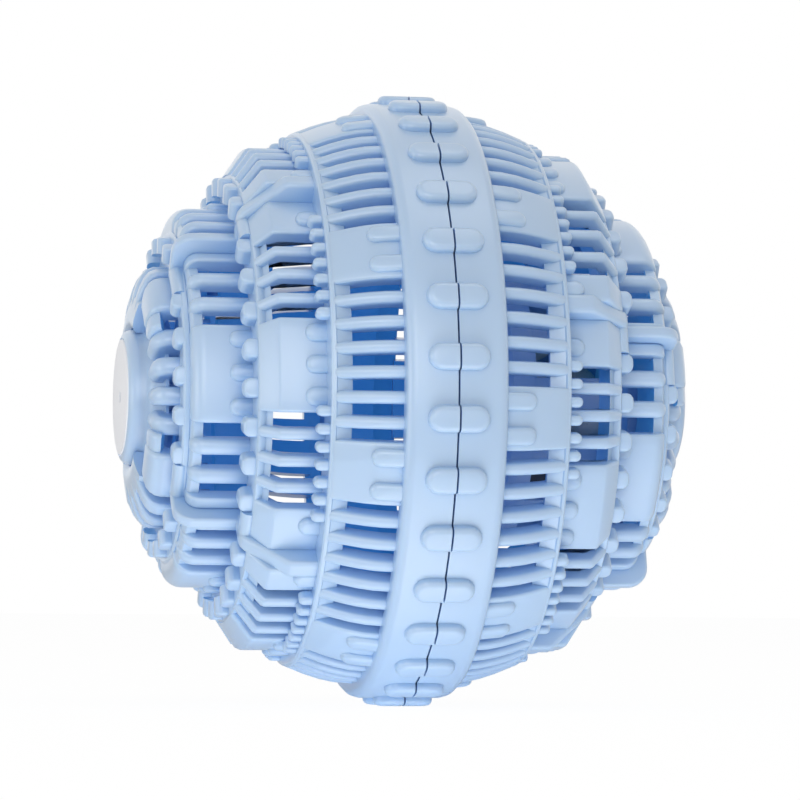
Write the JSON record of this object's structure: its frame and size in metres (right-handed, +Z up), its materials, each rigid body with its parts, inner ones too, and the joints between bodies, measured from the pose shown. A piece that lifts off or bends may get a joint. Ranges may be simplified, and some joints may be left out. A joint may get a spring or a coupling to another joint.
{
  "type": "laundry ball",
  "caption": "Ribbed, slotted laundry ball in two plug-together halves, with polar caps and an inner basket of ceramic beads.",
  "frame": {"origin": "the ball's centre, on the polar axis in the plane of the seam", "axes": "+X along the polar axis to the right half, which holds the beads; +Z up, with the ball lying on its seam bumps"},
  "size_m": [0.093, 0.1, 0.1],
  "materials": {
    "pale_blue_plastic": "satin moulded plastic",
    "white_disc": "smooth white plastic",
    "dark_grey_ceramic": "matt fired",
    "brown_ceramic": "matt fired",
    "pink_ceramic": "matt fired",
    "cream_ceramic": "matt fired"
  },
  "bodies": {
    "left_half": {"left_shell": "pale_blue_plastic", "left_cap": "pale_blue_plastic", "left_disc": "white_disc"},
    "right_half": {"right_shell": "pale_blue_plastic", "right_cap": "pale_blue_plastic", "right_disc": "white_disc", "bead_basket": "pale_blue_plastic", "bead_1_1_1": "dark_grey_ceramic", "bead_1_1_2": "dark_grey_ceramic", "bead_1_1_3": "dark_grey_ceramic", "bead_1_2_1": "dark_grey_ceramic", "bead_1_2_2": "dark_grey_ceramic", "bead_1_2_3": "dark_grey_ceramic", "bead_2_1_1": "brown_ceramic", "bead_2_1_2": "brown_ceramic", "bead_2_1_3": "brown_ceramic", "bead_2_2_1": "brown_ceramic", "bead_2_2_2": "brown_ceramic", "bead_2_2_3": "brown_ceramic", "bead_3_1_1": "pink_ceramic", "bead_3_1_2": "pink_ceramic", "bead_3_1_3": "pink_ceramic", "bead_3_2_1": "pink_ceramic", "bead_3_2_2": "pink_ceramic", "bead_3_2_3": "pink_ceramic", "bead_4_1_1": "cream_ceramic", "bead_4_1_2": "cream_ceramic", "bead_4_1_3": "cream_ceramic", "bead_4_2_1": "cream_ceramic", "bead_4_2_2": "cream_ceramic", "bead_4_2_3": "cream_ceramic"},
    "lid": {"basket_lid": "pale_blue_plastic"}
  },
  "joints": [
    {"name": "half_pull", "type": "slide", "parent": "left_half", "child": "right_half", "axis": [1, 0, 0], "range_m": [0, 0.045]},
    {"name": "lid_pull", "type": "slide", "parent": "right_half", "child": "lid", "axis": [-1, 0, 0], "range_m": [0, 0.02]}
  ]
}
